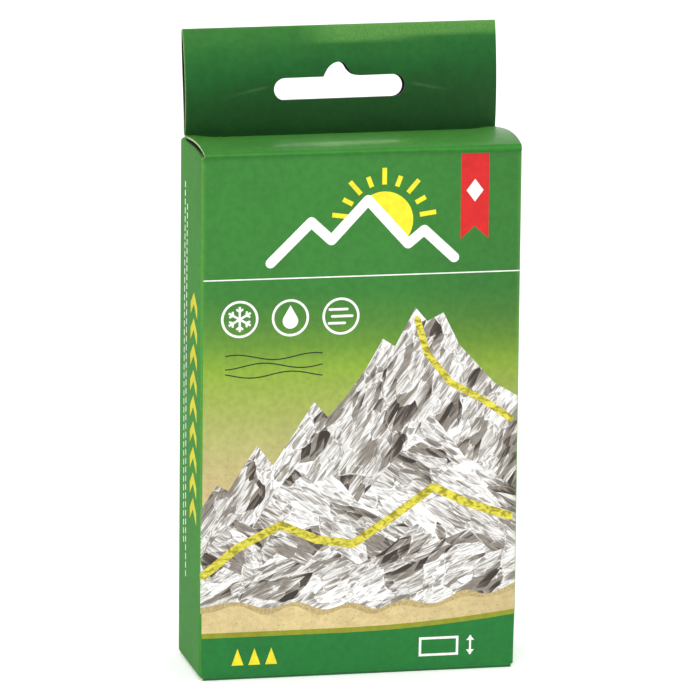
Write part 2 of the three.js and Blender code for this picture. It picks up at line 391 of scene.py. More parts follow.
class Nodes:
    """Short calls for the nodes of one material. Sizes are millimetres."""

    def __init__(self, name):
        self.material = bpy.data.materials.new(name)
        self.material.use_nodes = True
        self.tree = self.material.node_tree
        self.shader = self.tree.nodes["Principled BSDF"]
        self.place = self.add("ShaderNodeTexCoord").outputs["Object"]

    def plug(self, node, values):
        """Sets inputs of a node, or links them, by their names or numbers."""
        for key, value in values.items():
            if isinstance(value, bpy.types.NodeSocket):
                self.tree.links.new(value, node.inputs[key])
            else:
                node.inputs[key].default_value = value

    def add(self, kind, values=None, **settings):
        node = self.tree.nodes.new(kind)
        for key, value in settings.items():
            setattr(node, key, value)
        self.plug(node, values or {})
        return node

    def math(self, operation, first, second=0, clamp=False):
        values = {0: first, 1: second}
        return self.add("ShaderNodeMath", values, operation=operation, use_clamp=clamp).outputs[0]

    def vector(self, operation, first, second, output="Vector"):
        values = {0: first, "Scale" if operation == "SCALE" else 1: second}
        return self.add("ShaderNodeVectorMath", values, operation=operation).outputs[output]

    def blend(self, first, second, share):
        values = {0: share, 6: first, 7: second}  # the numbers of the node's inputs for colours
        return self.add("ShaderNodeMix", values, data_type="RGBA").outputs[2]

    def scaled(self, size, turn=0.0):
        """Coordinates that grow by one over size, whose first axis is turned up from X by an angle."""
        scale = [axis * MM for axis in size]
        values = {"Vector": self.place, "Rotation": (0, -turn, 0), "Scale": scale}
        return self.add("ShaderNodeMapping", values, vector_type="TEXTURE").outputs["Vector"]

    def noise(self, size, detail, distortion=0, turn=0.0, output="Fac"):
        """Soft noise in grains of a size."""
        values = {
            "Vector": self.scaled(size, turn), "Scale": 1, "Detail": detail, "Distortion": distortion,
        }
        return self.add("ShaderNodeTexNoise", values).outputs[output]

    def ramp(self, value, stops):
        """A colour that runs through stops, each a position from 0 to 1 and a screen colour."""
        node = self.add("ShaderNodeValToRGB", {"Fac": value})
        elements = node.color_ramp.elements
        while len(elements) < len(stops):
            elements.new(0.5)
        for element, (position, *screen) in zip(elements, stops):
            element.position = position
            element.color = ink(*screen)
        return node.outputs["Color"]

    def range(self, value, low, high, to_low=0, to_high=1):
        """Runs smoothly from to_low to to_high while value goes from low to high."""
        values = {
            "Value": value, "From Min": low, "From Max": high, "To Min": to_low, "To Max": to_high,
        }
        node = self.add("ShaderNodeMapRange", values, interpolation_type="SMOOTHSTEP")
        return node.outputs["Result"]

    def axis(self, name):
        return self.add("ShaderNodeSeparateXYZ", {0: self.place}).outputs[name]

    def height(self):
        """Height as a share of the carton's."""
        return self.math("DIVIDE", self.axis("Z"), ROOF * MM)

    def wear_and_painted_light(self):
        """The mark that build_sheet leaves in the mesh: wear, painted highlight and painted light
        above 0, painted shade below 0.
        """
        return self.add("ShaderNodeAttribute", attribute_name="wear_and_painted_light").outputs["Fac"]

    def surface(self, **values):
        """Sets the shader's inputs, called by their names with underscores for spaces."""
        self.plug(self.shader, {key.replace("_", " "): value for key, value in values.items()})

    def bump(self, strength, distance, height):
        values = {"Strength": strength, "Distance": distance * MM, "Height": height}
        self.surface(Normal=self.add("ShaderNodeBump", values).outputs["Normal"])


# colour that wear, painted highlights and painted light lighten the print towards
WEAR_AND_HIGHLIGHT_INK = ink(120, 176, 84)
# colour that painted shade darkens the print towards: score lines, top flaps, the lid's fold
SCORE_SHADE = ink(8, 34, 12)
MATT = {"roughness": 0.75, "coat": 0, "specular": 0.25}
INK_TONE = 1.08  # the ink is darkened by what its mottling lacks of this


def varnished(name, colour_of, roughness=0.42, coat=0.1, specular=0.25):
    """Printed board under a clear varnish, slightly mottled, lighter with wear and painted highlights
    along the folds, and darker with painted shade in the score lines. colour_of(nodes) gives the
    print's colour."""
    nodes = Nodes("print_" + name)
    colour = colour_of(nodes)
    mottle = nodes.range(nodes.noise((1.6, 1.6, 1.6), 4), 0.3, 0.7, 0.93, 1.07)
    blotch = nodes.range(nodes.noise((9, 9, 14), 2), 0.3, 0.7, 0.965, 1.035)
    tone = nodes.math("MULTIPLY", mottle, blotch)
    colour = nodes.blend(colour, BLACK, nodes.math("SUBTRACT", INK_TONE, tone, clamp=True))
    # the mesh's mark: above 0 wear, painted highlight and painted light, below 0 painted shade
    wear_and_painted_light = nodes.wear_and_painted_light()
    grain = nodes.range(nodes.noise((0.5, 0.5, 0.5), 3), 0.35, 0.65, 0.65, 1)
    light = nodes.math("MULTIPLY", nodes.math("MAXIMUM", wear_and_painted_light, 0), grain, clamp=True)
    shade = nodes.math("MAXIMUM", nodes.math("MULTIPLY", wear_and_painted_light, -1), 0, clamp=True)
    colour = nodes.blend(nodes.blend(colour, WEAR_AND_HIGHLIGHT_INK, light), SCORE_SHADE, shade)
    nodes.surface(
        Base_Color=colour, Roughness=roughness, Specular_IOR_Level=specular, Coat_Weight=coat,
        Coat_Roughness=0.09,
    )
    nodes.bump(0.25, 0.02, nodes.noise((0.7, 0.7, 0.7), 2))


def flat_ink(*screen):
    return lambda nodes: ink(*screen)


SKY_STOPS = (  # the front's ground: a height above the floor and a screen colour
    (0, 216, 195, 141), (40, 216, 195, 141), (49, 194, 177, 124), (58.4, 176, 174, 107),
    (67.6, 159, 171, 82), (76.9, 134, 166, 50), (83.2, 98, 142, 42), (89.3, 71, 127, 43),
    (96, 48, 120, 41), (104, 48, 122, 41), (130, 47, 123, 40),
)


def sky_ink(nodes):
    """The front's ground: green above, lime, then sand with dark grains, and painted shade that makes
    it darker to the right.
    """
    height = nodes.height()
    colour = nodes.ramp(height, [(level / ROOF, *screen) for level, *screen in SKY_STOPS])
    # painted shade: darker towards the right edge
    east = nodes.range(nodes.axis("X"), 0, HALF_WIDTH * MM, 0, 0.13)
    colour = nodes.blend(colour, BLACK, east)
    low_down = nodes.range(height, 0.5, 0.36)
    grains = nodes.range(nodes.noise((0.45, 0.45, 0.45), 3), 0.57, 0.68)
    drifts = nodes.range(nodes.noise((7, 7, 2.2), 3), 0.45, 0.7, 0, 0.35)
    speck = nodes.math("MULTIPLY", nodes.math("MULTIPLY", grains, low_down), 0.38)
    colour = nodes.blend(colour, ink(120, 98, 60), speck)
    return nodes.blend(colour, ink(190, 165, 110), nodes.math("MULTIPLY", drifts, low_down))


def sand_shadow_ink(nodes):
    grains = nodes.range(nodes.noise((0.5, 0.5, 0.5), 3), 0.3, 0.7)
    return nodes.blend(ink(168, 146, 98), ink(200, 180, 126), grains)


FOIL_STOPS = (  # what a facet mirrors, from its darkest tilt to its lightest
    (0.00, 56, 48, 42), (0.12, 88, 80, 72), (0.20, 150, 143, 134), (0.30, 122, 114, 104),
    (0.37, 178, 173, 166), (0.44, 238, 237, 235), (0.50, 196, 192, 187), (0.56, 136, 129, 120),
    (0.63, 212, 209, 205), (0.70, 250, 250, 249), (0.78, 186, 182, 176), (0.85, 244, 244, 243),
    (1.00, 253, 253, 253),
)
MID_GREY = (0.5, 0.5, 0.5)  # taken off a texture's colour, so that it points to all sides
FACET_DEPTH = 50  # into the front, so that facets and streaks don't change with depth


def foil_facets(nodes, cell, turn, warp):
    """Facets, each with a tone of its own and a slope across it, and light lines between them."""
    place = nodes.vector("ADD", nodes.scaled(cell, turn), warp)
    values = {"Vector": place, "Scale": 1}
    cells = nodes.add("ShaderNodeTexVoronoi", values)
    edges = nodes.add("ShaderNodeTexVoronoi", values, feature="DISTANCE_TO_EDGE")
    offset = nodes.vector("SUBTRACT", place, cells.outputs["Position"])
    tilt = nodes.vector("SUBTRACT", cells.outputs["Color"], MID_GREY)
    slope = nodes.vector("DOT_PRODUCT", offset, tilt, "Value")
    split = nodes.add("ShaderNodeSeparateColor", {0: cells.outputs["Color"]})
    crease = nodes.range(edges.outputs["Distance"], 0, 0.05, 0.16, 0)
    return nodes.math("ADD", nodes.math("ADD", split.outputs[0], slope), crease)


def foil_ink(turn, lift, crackle):
    """Crumpled foil: facets of two sizes along the folds, with fine streaks. turn is the folds'
    angle, lift how light the foil is, and crackle the share of the small facets."""

    def colour_of(nodes):
        noise = nodes.noise((11, FACET_DEPTH, 11), 1.5, output="Color")
        warp = nodes.vector("SCALE", nodes.vector("SUBTRACT", noise, MID_GREY), 1.4)
        large = foil_facets(nodes, (15, FACET_DEPTH, 6), turn, warp)
        small = foil_facets(nodes, (5.5, FACET_DEPTH, 1.5), turn + math.radians(14), warp)
        value = nodes.math("MULTIPLY", large, 1 - crackle)
        value = nodes.math("ADD", value, nodes.math("MULTIPLY", small, crackle))
        fine = nodes.noise((14, FACET_DEPTH, 0.7), 3, 0.5, turn)
        streaks = nodes.range(fine, 0.3, 0.7, -0.09, 0.09)
        return nodes.ramp(nodes.math("ADD", nodes.math("ADD", value, lift), streaks), FOIL_STOPS)

    return colour_of


def tape_ink(nodes):
    folds = nodes.range(nodes.noise((2, 2, 1.2), 3, 1), 0.35, 0.6)
    return nodes.blend(ink(150, 140, 28), ink(222, 212, 72), folds)


def side_ink(nodes):
    return nodes.ramp(nodes.height(), [(0, 56, 129, 45), (0.5, 53, 134, 36), (1, 56, 129, 37)])


# A painted reflection on the crown of the top panel, and where it fades along and across the panel
CROWN_Y, CROWN_REFLECTION = -8.7 * MM, 0.33
CROWN_ENDS, CROWN_SIDES = (6 * MM, 17 * MM), (0.5 * MM, 3 * MM)


def top_ink(nodes):
    """The top panel's print, with painted light that makes it a little lighter towards the hang tab,
    and a painted reflection on its crown.
    """
    # painted light: lighter towards the hang tab
    back = nodes.range(nodes.axis("Y"), -0.5 * DEPTH * MM, 0.5 * DEPTH * MM)
    colour = nodes.blend(ink(65, 135, 52), ink(75, 150, 55), back)
    # painted reflection along the crown
    middle = nodes.range(nodes.math("ABSOLUTE", nodes.axis("X")), *CROWN_ENDS, 1, 0)
    crown = nodes.math("ABSOLUTE", nodes.math("SUBTRACT", nodes.axis("Y"), CROWN_Y))
    reflection = nodes.range(crown, *CROWN_SIDES, CROWN_REFLECTION, 0)
    return nodes.blend(colour, ink(122, 186, 84), nodes.math("MULTIPLY", reflection, middle))


TAB_PRINT_TOP = 26
TAB_STOPS = (  # the hang tab: a height above its foot and a screen colour
    (0, 26, 72, 28), (8, 26, 78, 30), (13, 22, 84, 30), (16, 22, 93, 35), (20, 32, 102, 39),
    (24, 42, 110, 42), (TAB_PRINT_TOP, 46, 114, 44),
)
TAB_TILT = -0.08  # how much further up the colours lie at the right edge
SLOT_CREASES = (  # where each crease starts and ends: x, and z from the slot's middle
    ((-18.9, 0.5), (-31.5, -2.2)),
    ((18.6, 0.4), (31, -2.1)),
)
SLOT_CREASE_LIGHT = 0.2


def crease_light(nodes, start, end):
    """How much of a fine crease shows: most near its start, none past its ends or 0.6 mm aside."""
    start, end = [Vector((x, 0, ROOF + SLOT_LEVEL + rise)) * MM for x, rise in (start, end)]
    way = (end - start).normalized()
    offset = nodes.vector("SUBTRACT", nodes.place, start)
    along = nodes.vector("DOT_PRODUCT", offset, way, "Value")
    aside = nodes.vector("DOT_PRODUCT", offset, (way.z, 0, -way.x), "Value")
    narrow = nodes.range(nodes.math("ABSOLUTE", aside), 0.1 * MM, 0.6 * MM, 1, 0)
    begun = nodes.range(along, -1.5 * MM, 1 * MM)
    fading = nodes.range(along, 0, (end - start).length, 1, 0)
    return nodes.math("MULTIPLY", narrow, nodes.math("MULTIPLY", begun, fading))


def tab_ink(nodes):
    """The hang tab's print, darker towards its foot."""
    rise = nodes.math("SUBTRACT", nodes.axis("Z"), ROOF * MM)
    share = nodes.math("DIVIDE", rise, (TAB_TOP - ROOF) * MM)
    patchy = nodes.range(nodes.noise((10, 10, 5), 2), 0.3, 0.7, -0.04, 0.04)
    tilt = nodes.math("MULTIPLY", nodes.axis("X"), TAB_TILT / (HALF_WIDTH * MM))
    share = nodes.math("ADD", nodes.math("ADD", share, patchy), tilt)
    colour = nodes.ramp(share, [(level / TAB_PRINT_TOP, *screen) for level, *screen in TAB_STOPS])
    creases = nodes.math("ADD", *[crease_light(nodes, start, end) for start, end in SLOT_CREASES])
    light = nodes.math("MULTIPLY", creases, SLOT_CREASE_LIGHT)
    return nodes.blend(colour, ink(104, 146, 98), light)


def make_bare_board(name, dark, light, speck):
    """Uncoated board: recycled pulp with short fibres and a few specks, darkened by painted shade where
    the mesh marks it.
    """
    nodes = Nodes(name)
    fibres = nodes.range(nodes.noise((0.25, 1.4, 0.8), 4, 0.6), 0.35, 0.65)
    colour = nodes.blend(dark, light, fibres)
    specks = nodes.range(nodes.noise((0.35, 0.35, 0.35), 2), 0.66, 0.72, 0, 0.5)
    colour = nodes.blend(colour, speck, specks)
    # painted shade: darkens the inner faces between the tab's plies and the slots' rims
    shade = nodes.math("MULTIPLY", nodes.wear_and_painted_light(), -1, clamp=True)
    colour = nodes.blend(colour, ink(14, 13, 11), shade)
    nodes.surface(Base_Color=colour, Roughness=0.85)
    nodes.bump(0.4, 0.05, fibres)


FLAT_PRINTS = {
    "band": (18, 115, 44), "olive": (140, 146, 30), "white": (246, 246, 242),
    "yellow": (240, 226, 40), "red": (206, 26, 26), "dark": (22, 40, 20),
}


def make_materials():
    make_bare_board("inner_board", ink(98, 94, 86), ink(126, 122, 112), ink(70, 66, 60))
    make_bare_board("cut_edge", ink(146, 172, 116), ink(180, 204, 148), ink(110, 128, 90))
    varnished("ground", sky_ink)
    varnished("side", side_ink, **MATT)
    varnished("side_yellow", flat_ink(214, 206, 40), **MATT)
    varnished("side_white", flat_ink(226, 232, 220), **MATT)
    varnished("back", flat_ink(44, 126, 42))
    varnished("top", top_ink, coat=0.2)
    varnished("fold", flat_ink(46, 128, 41), coat=0, specular=0.15)
    varnished("tab", tab_ink, roughness=0.6, coat=0, specular=0.2)
    for name, screen in FLAT_PRINTS.items():
        varnished(name, flat_ink(*screen))
    varnished("sand_shadow", sand_shadow_ink)
    varnished("foil_far", foil_ink(math.radians(52), 0.04, 0.4))
    varnished("foil_near", foil_ink(math.radians(-36), 0.02, 0.42))
    varnished("foil_low", foil_ink(math.radians(20), 0.06, 0.45))
    varnished("tape", tape_ink)


# Print on the front, with x from the panel's left edge and z from the floor

WEST, EAST = 0.16, FRONT_WIDTH - 0.16  # edges of the picture's shapes
HIDDEN = 30  # where shapes end, behind the foil that lies in front of them
SUN = (45, 113.2, 7.2)
RAY_ANGLES = [8 + 20.5 * i for i in range(9)]
RAY_FOOT, RAY_ENDS, RAY_WIDTH = 8.9, (13, 11.6), 1.15
RIDGE = (
    (17, 103.6), (27, 113.4), (32, 108.8), (41, 118.4), (51, 107.4), (55, 110.6),
    (62.5, 103.6),
)
RIDGE_FOOT, RIDGE_WIDTH = 101, 2.5
FAR_PEAKS = (
    (WEST, 43), (4, 49), (7, 47.5), (11, 54), (14, 58.5), (18, 53.5), (23, 61), (28, 69), (31.5, 65),
    (36, 70), (41, 77), (45, 84), (48, 82), (53, 91.5), (56, 88), (60, 90), (64, 82), (69, 76.5),
    (73, 72), (EAST, 68.5), (EAST, HIDDEN), (WEST, HIDDEN),
)
FOIL_FOOT = (  # where the foil lies on the sand, from the right edge to the left
    (EAST, 21.6), (72, 19), (66, 20.2), (59, 17.2), (51, 18.4), (44, 16.4), (38, 18.2), (31, 16.8),
    (24, 19), (17, 17.6), (9, 19.6), (WEST, 18.4),
)
NEAR_PEAKS = (
    (WEST, 31), (4, 36), (9, 40.5), (13, 38), (18, 46), (24, 53), (28, 48.5), (33, 51), (39, 43.5),
    (44, 49), (51, 57), (57, 65), (61, 60.5), (66, 53.5), (71, 51), (EAST, 45),
)
LOW_FOLDS = (
    (WEST, 24), (6, 28.5), (12, 25.5), (19, 31.5), (26, 28), (31, 33.5), (39, 27.5), (46, 31),
    (54, 37.5), (60, 33), (67, 35.5), (73, 29.5), (EAST, 31),
)
TAPE_NEAR = (
    (0.9, 26.5), (9, 33), (20, 38.5), (29, 34.5), (38, 33), (48, 39.5), (58, 46.5), (67, 42),
    (77.1, 38.5),
)
TAPE_FAR = ((53.5, 88.5), (56, 80), (62, 72.5), (70, 68), (77.1, 63))
TAPE_WIDTH = 2.1
SHADOW_DROP, SHADOW_WAVE = 1.3, 0.4
RIBBON = (  # with its diamond
    ("red", (64, 108), (67.5, 111.2), (71, 108), (71, 129.4), (64, 129.4)),
    ("white", (65.4, 120), (67.5, 117.2), (69.6, 120), (67.5, 122.8)),
)
ICON_PLACES, ICON_LEVEL = (9.5, 22, 34.5), 90
ICON_RADIUS, ICON_RIM, ICON_MARGIN = 4.6, 0.6, 1.5
RULE_LEVEL, RULE_WIDTH = 99.6, 0.3
WAVES = (80.5, 78.3, 76.1)  # heights of the thin wavy lines
EDGE_STEP = 4  # between two points of the band's edge
OLIVE_RIM = 1.25
SIGNS = (  # on the band: triangles, a frame and a double arrow
    *[("yellow", (x, 3.6), (x + 3, 3.6), (x + 1.5, 7.8)) for x in (8, 12.2, 16.4)],
    ("white", (55, 3.8), (65, 3.8), (65, 8.6), (55, 8.6)),
    ("band", (55.6, 4.4), (64.4, 4.4), (64.4, 8), (55.6, 8)),
    ("white", (68.25, 3.8), (68.25, 8.6), (67.75, 8.6), (67.75, 3.8)),
    ("white", (67, 5), (69, 5), (68, 3.8)),
    ("white", (67, 7.4), (69, 7.4), (68, 8.6)),
)


def band_top(x):
    """The bottom band's upper edge lies nearly level and rises to the right."""
    return 10.7 + 2.8 * max(0, (x - 34) / 44) ** 2


def band_shape(low, high, left, right):
    """A strip that follows the band's upper edge, between two heights above it."""
    xs = spread(left, right, EDGE_STEP)
    return [(x, band_top(x) + low) for x in xs] + [(x, band_top(x) + high) for x in reversed(xs)]


def snowflake(x, z, radius):
    """Six arms with two twigs each."""
    shapes = []
    centre = Vector((x, z))
    for i in range(6):
        angle = math.tau * i / 6 + math.pi / 2
        way = Vector(polar(0, 0, 1, angle))
        shapes.append(bar(centre, centre + way * radius, 0.55))
        fork = centre + way * radius * 0.6
        for turn in (-0.9, 0.9):
            twig = Vector(polar(0, 0, 1, angle + turn))
            shapes.append(bar(fork, fork + twig * radius * 0.34, 0.5))
    return shapes


def raindrop(x, z, radius):
    """Most of a circle, drawn up to a tip."""
    return [arc(x, z - radius * 0.25, radius * 0.62, -205, 25, 18) + [(x, z + radius)]]


def wind(x, z, radius):
    """Three strokes of uneven length."""
    shapes = []
    for level, *ends in ((0.55, -0.9, 0.5), (0, -0.7, 0.9), (-0.55, -0.95, 0.3)):
        shapes += stroke([(x + end * radius, z + level * radius) for end in ends], 0.62)
    return shapes


def front_print(left, right, bottom, top):
    """The front's printed patches, in order."""
    patches = [(box_shape(left, bottom, right, top), "ground")]

    def lay(material, *shapes):
        patches.extend((shape, material) for shape in shapes)

    lay("yellow", disc(*SUN, 40))
    centre = Vector(SUN[:2])
    for i, angle in enumerate(RAY_ANGLES):
        way = Vector(polar(0, 0, 1, math.radians(angle)))
        lay("yellow", bar(centre + way * RAY_FOOT, centre + way * RAY_ENDS[i % 2], RAY_WIDTH))
    lay("ground", [*RIDGE, (RIDGE[-1][0], RIDGE_FOOT), (RIDGE[0][0], RIDGE_FOOT)])
    lay("white", *stroke(RIDGE, RIDGE_WIDTH))
    lay("white", box_shape(left, RULE_LEVEL, right, RULE_LEVEL + RULE_WIDTH))
    for material, *shape in RIBBON:
        lay(material, shape)
    for x, icon in zip(ICON_PLACES, (snowflake, raindrop, wind)):
        lay("white", disc(x, ICON_LEVEL, ICON_RADIUS, 36))
        lay("ground", disc(x, ICON_LEVEL, ICON_RADIUS - ICON_RIM, 36))
        lay("white", *icon(x, ICON_LEVEL, ICON_RADIUS - ICON_MARGIN))
    for level in WAVES:
        wave = [(x, level + 0.7 * math.sin(x / 3.1 + level)) for x in spread(6, 30, 1.5)]
        lay("dark", *[bar(a, b, 0.3, 0.04) for a, b in zip(wave, wave[1:])])

    lay("foil_far", list(FAR_PEAKS))
    foot = through(FOIL_FOOT)
    shadow = [(x, z - SHADOW_DROP - SHADOW_WAVE * math.sin(x / 2)) for x, z in foot]
    lay("sand_shadow", [*shadow, (WEST, HIDDEN), (EAST, HIDDEN)])
    lay("foil_near", [*NEAR_PEAKS, *foot])
    lay("foil_low", [*LOW_FOLDS, *foot])
    lay("tape", *stroke(TAPE_NEAR, TAPE_WIDTH), *stroke(TAPE_FAR, TAPE_WIDTH * 0.8))

    edge = [(x, band_top(x)) for x in reversed(spread(left, right, EDGE_STEP))]
    lay("band", [(left, bottom), (right, bottom), *edge])
    lay("olive", band_shape(0, OLIVE_RIM, left, right))
    for material, *shape in SIGNS:
        lay(material, shape)
    return patches


# The sleeve: right side, front, left side and back panels, the seam flap inside the right side, and
# the two top dust flaps. u is the length round it from the right side's free edge, v the height.

SEAM_X = SEAM_HIGH.x - SEAM_GAP
sleeve = Profile(
    [
        (HALF_WIDTH, BACK_Y - FREE_EDGE_INSET), (FRONT_WIDTH / 2, FRONT_Y), (-FRONT_WIDTH / 2, FRONT_Y),
        (-HALF_WIDTH, BACK_Y), (SEAM_X, BACK_Y), (SEAM_X, SEAM_LOW.y),
    ],
    FOLD,
)
MID_FR, MID_FL, MID_BL = sleeve.middles()[:3]
RIGHT_SIDE, FRONT, LEFT_SIDE, BACK = sleeve.flats()  # where each panel's flat part starts and ends
SEAM_START = sleeve.bends[3][1]

# Feet of the panels, above the floor
SIDE_FOOT = 1.35
FRONT_FOOT = 0.85
BACK_FOOT = 0.05

# The top flaps' folds rise with the top panel's bow, and the left one also beside the tab's foot
SIDE_FOLD = SIDE_TOP + 0.4
FLAP_LIFT = 0.68
LIFT_REACH = 5
EAR_RISE = 0.75
EAR_Y, EAR_REACH = BACK_Y - 3.2, 2.6
EAR_LEVEL, EAR_HEIGHT = 0.3, 0.8
FLAP_REACH = TOP_FLAP_HIGH.x + HALF_WIDTH
flap_fold = Profile([(0, 0), (0, SIDE_FOLD + FOLD), (FLAP_REACH, SIDE_FOLD + FOLD)], FOLD)

# The front's score line drops towards its right end
SCORE_DROP = 0.35
DROP_START, DROP_REACH = 6, 33
DROP_HEIGHT = 6  # how far down the panel follows the drop

FOOT_PINCH = 0.35  # how far the right fold draws in at its foot, and up to what height
FOOT_PINCH_TOP = 20
FOOT_PINCH_DEPTH = 2  # how far round on the right side it fades

# Wear and painted highlight on the upright folds, from their feet up, and painted shade below the
# score line and on the top flaps
FOLD_WEAR_AND_HIGHLIGHT, FOLD_HIGHLIGHT_WIDTH = 0.34, 0.45
FOLD_HIGHLIGHT_FOOT, FOLD_HIGHLIGHT_RISE = 8, 24
# painted shade below the front's score line, at its left and right end, and how far down it reaches
SCORE_SHADE_LEFT, SCORE_SHADE_RIGHT = 0.3, 0.25
SCORE_SHADE_HEIGHT = 1.2
# painted shade on the top flaps under the top panel's edges: where it starts, and its front and back
# ends
FLAP_SHADE_START = SIDE_FOLD + 0.75
FLAP_SHADE_FRONT, FLAP_SHADE_BACK = FRONT_Y + 1.5, BACK_Y - 3


def top_bow(x, y):
    """How far the top panel rises above its folds."""
    share = clamp((y - FRONT_Y) / (TAB_FOOT_Y - FRONT_Y))
    return across(x, BOW_LEFT, BOW_RIGHT) * math.sin(math.pi * share ** BOW_POWER)


def front_u(x):
    """Length along the sleeve from a distance to the front's left edge, and the other way round."""
    return FRONT[0] + (FRONT_WIDTH - FOLD) - x


def score_drop(x):
    """The front's score line runs a little lower towards its right end."""
    return SCORE_DROP * smooth((x - DROP_START) / DROP_REACH)


def ear_rise(y, v):
    """How far the left flap's fold stands up beside the tab's foot, where the top panel is narrow."""
    return EAR_RISE * bell(y, EAR_Y, EAR_REACH) * bell(v, SIDE_FOLD + EAR_LEVEL, EAR_HEIGHT)


def place_on_sleeve(u, v, depth):
    point = sleeve.at(u, depth)
    inward = sleeve.at(u, depth + 1) - point
    on_left = MID_FL < u < MID_BL
    on_side = u < MID_FR or on_left
    x, y = sleeve.at(u)
    height = v
    if on_side and v > SIDE_FOLD:
        folded = flap_fold.at(v, depth)
        point = point + inward * (folded.x - depth)
        height = folded.y
    if on_side:
        height += FLAP_LIFT * top_bow(x, y) * smooth((v - SIDE_FOLD + LIFT_REACH) / LIFT_REACH)
    if on_left:
        height += ear_rise(y, v)
    if MID_FR < u < MID_FL:
        height -= score_drop(x) * smooth((v - SCORE_Z + DROP_HEIGHT) / DROP_HEIGHT)
    pillow = max(sag(u, start, end) for start, end in (RIGHT_SIDE, FRONT, LEFT_SIDE, BACK))
    point = point - inward * PANEL_PILLOW * sag(v, 0, SCORE_Z) * pillow
    at_front = smooth(1 - (MID_FR - u) / FOOT_PINCH_DEPTH)
    pinch = FOOT_PINCH * smooth(1 - v / FOOT_PINCH_TOP) * max(0, x / HALF_WIDTH) * at_front
    return Vector((point.x - pinch, point.y, height))


def wear_and_painted_light_on_sleeve(u, v):
    """Wear and painted highlight along the upright folds, and painted shade below the front's score
    line and on the top flaps.
    """
    # painted shade on the top flaps, where they run into the gap under the top panel
    if v > FLAP_SHADE_START:
        return -smooth(3 * sag(sleeve.at(u).y, FLAP_SHADE_FRONT, FLAP_SHADE_BACK))
    # wear and painted highlight along the upright folds, fading towards their feet
    light = FOLD_WEAR_AND_HIGHLIGHT * smooth((v - FOLD_HIGHLIGHT_FOOT) / FOLD_HIGHLIGHT_RISE)
    wear_and_painted_light = max(light * bell(u, middle, FOLD_HIGHLIGHT_WIDTH) for middle in (MID_FR, MID_FL, MID_BL))
    # painted shade below the front's score line
    if MID_FR < u < MID_FL:
        dark = mix(SCORE_SHADE_RIGHT, SCORE_SHADE_LEFT, (u - MID_FR) / (MID_FL - MID_FR))
        wear_and_painted_light -= dark * smooth((v - SCORE_Z + SCORE_SHADE_HEIGHT) / SCORE_SHADE_HEIGHT)
    return wear_and_painted_light


def top_flap_shape(first, last):
    """A top dust flap's outline between two lengths along the sleeve, given in falling order."""
    fold, end = SIDE_FOLD, flap_fold.length
    cut = [(0, fold), (0.6, fold + 1.2), (2.6, end - 2), (4.6, end)]
    return [(first - inset, v) for inset, v in cut] + [(last + inset, v) for inset, v in reversed(cut)]


def sleeve_outline():
    """The sleeve's outline, from the right side's free edge round to the seam flap and back."""
    end = sleeve.length
    seam = SEAM_START - 0.2
    free = SIDE_TOP + 0.3  # top of the panels' edges beside the flaps
    return [
        (0, SIDE_FOOT), (RIGHT_SIDE[1], SIDE_FOOT), (FRONT[0], FRONT_FOOT), (FRONT[1], FRONT_FOOT),
        (LEFT_SIDE[0], SIDE_FOOT), (LEFT_SIDE[1], SIDE_FOOT), (BACK[0], BACK_FOOT), (BACK[1], BACK_FOOT),
        (seam, SEAM_LOW.z), (end, SEAM_LOW.z + 4), (end, SEAM_HIGH.z - 4), (seam, SEAM_HIGH.z),
        (BACK[1], BACK_HIGH.z), (BACK[0] + 0.8, BACK_HIGH.z), (MID_BL, free),
        *top_flap_shape(LEFT_SIDE[1] - 0.2, LEFT_SIDE[0] + 0.1),
        (MID_FL, SCORE_Z), (MID_FR, SCORE_Z),
        *top_flap_shape(RIGHT_SIDE[1] - 0.1, 0.5),
        (0, free),
    ]


# Print on a side panel: arrowheads, and columns of dashes with their depth, foot and top
ARROWS, ARROW_START, ARROW_STEP = 9, 38, 6.4
ARROW = ((4.5, 0), (8.5, 3.2), (12.5, 0), (12.5, 2.9), (8.5, 6.1), (4.5, 2.9))
DASHES = ((17.5, 22, 116), (20.5, 30, 121))
DASH_WIDTH, DASH_LENGTH, DASH_STEP = 1, 1.5, 2.2
GREEN_WRAP = 0.4  # how far the left side's green runs on past the fold


def side_print(edge, way):
    """The printed patches on a side panel, whose front fold is at edge and which runs back by way."""
    arrows = [[(x, ARROW_START + ARROW_STEP * i + z) for x, z in ARROW] for i in range(ARROWS)]
    dashes = [
        box_shape(depth, z, depth + DASH_WIDTH, z + DASH_LENGTH)
        for depth, low, high in DASHES
        for z in spread(low, high, DASH_STEP)[:-1]
    ]
    return [
        ([(edge + way * x, z) for x, z in shape], material)
        for shapes, material in ((arrows, "side_yellow"), (dashes, "side_white"))
        for shape in shapes
    ]


def build_sleeve():
    top = flap_fold.length
    green = MID_FL - GREEN_WRAP
    patches = [
        (box_shape(0, 0, MID_FR, top), "side"),
        (box_shape(green, 0, MID_BL, top), "side"),
        (box_shape(MID_BL, 0, sleeve.length, top), "back"),
    ]
    for shape, material in front_print(front_u(green), front_u(MID_FR), 0, top):
        patches.append(([(front_u(x), z) for x, z in shape], material))
    patches += side_print(MID_FL, 1) + side_print(MID_FR, -1)
    by_the_ear = spread(LEFT_SIDE[1] - 9, LEFT_SIDE[1] - 1.5, 0.8)
    columns = sorted({*sleeve.steps(0, sleeve.length, 6), *by_the_ear})
    close = SIDE_FOLD - 6  # rows lie closer from here up to the flaps' folds
    rows = spread(0, close, 8) + spread(close, SIDE_FOLD, 0.75)[1:]
    rows += flap_fold.steps(SIDE_FOLD, top, 4)[1:]
    piece = build_sheet(
        "sleeve", "carton", columns, rows, place_on_sleeve, patches, wear_and_painted_light_on_sleeve, sleeve_outline()
    )
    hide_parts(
        "front_panel", "back_panel", "left_side_panel", "right_side_panel", "seam_flap",
        "top_dust_flap_left", "top_dust_flap_right",
    )


# The strip over the top: front fold, top panel, the hang tab's two plies and its glue flap. x runs
# along the folds, and t over the strip from the score line.

